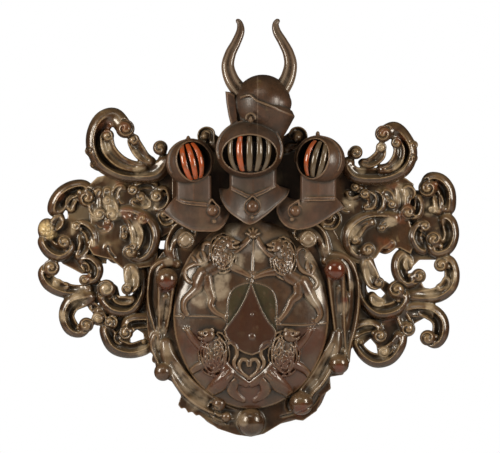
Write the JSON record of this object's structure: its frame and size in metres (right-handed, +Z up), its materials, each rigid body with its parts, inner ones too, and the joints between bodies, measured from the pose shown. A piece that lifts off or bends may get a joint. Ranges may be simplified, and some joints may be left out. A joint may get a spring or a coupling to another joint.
{
  "type": "carved wooden armorial shield",
  "caption": "Carved wooden armorial wall shield: bombe field with relief lions in a scrolled frame, barred helmets, horned hat crest and pierced leaf-scroll mantling.",
  "frame": {"origin": "on the flat back that lies against the wall, behind the helmets' gorgets, on the shield's upright middle line", "axes": "+Z up, +X to the right seen from the front, +Y into the wall, so that the carved front faces -Y"},
  "size_m": [0.8514, 0.1423, 0.8343],
  "materials": {
    "shield_wood": "dark polished walnut with worn, reddish high spots",
    "mantling_wood": "dark polished walnut, dusty and paler in its hollows",
    "helmet_wood": "dark polished walnut, with traces of orange-red paint on the bars",
    "horn_wood": "dark polished walnut"
  },
  "bodies": {
    "root": {"shield": "shield_wood", "mantling_left": "mantling_wood", "mantling_right": "mantling_wood", "top_scroll_left": "mantling_wood", "top_scroll_right": "mantling_wood", "helmet_left": "helmet_wood", "helmet_center": "helmet_wood", "helmet_right": "helmet_wood", "horn_left": "horn_wood", "horn_right": "horn_wood"}
  },
  "joints": []
}
